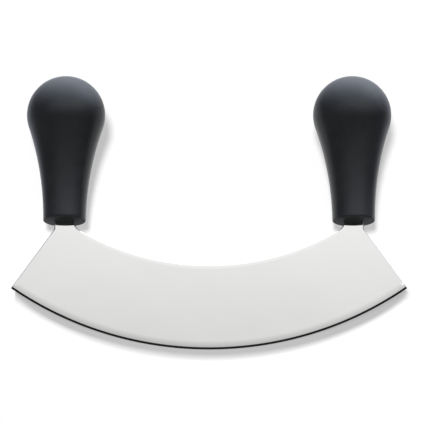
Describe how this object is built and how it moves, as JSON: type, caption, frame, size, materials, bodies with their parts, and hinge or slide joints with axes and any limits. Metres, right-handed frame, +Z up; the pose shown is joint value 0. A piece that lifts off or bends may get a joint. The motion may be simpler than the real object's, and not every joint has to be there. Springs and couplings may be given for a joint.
{
  "type": "mezzaluna",
  "caption": "Curved single-bladed chopping knife with an upright ball-topped handle at each end.",
  "frame": {"origin": "on the table under the middle of the knife, which lies on both balls and on the side of its cutting edge", "axes": "+X along the blade, +Y from the cutting edge to the handles, +Z up off the table"},
  "size_m": [0.23, 0.1625, 0.0462],
  "materials": {
    "blade_steel": "ground and polished stainless steel, with a honed edge",
    "grip_plastic": "black moulded plastic with a fine matte grain",
    "core_plastic": "natural moulded plastic"
  },
  "bodies": {
    "root": {"blade": "blade_steel", "handle_core_left": "core_plastic", "handle_core_right": "core_plastic", "handle_grip_left": "grip_plastic", "handle_grip_right": "grip_plastic"}
  },
  "joints": []
}
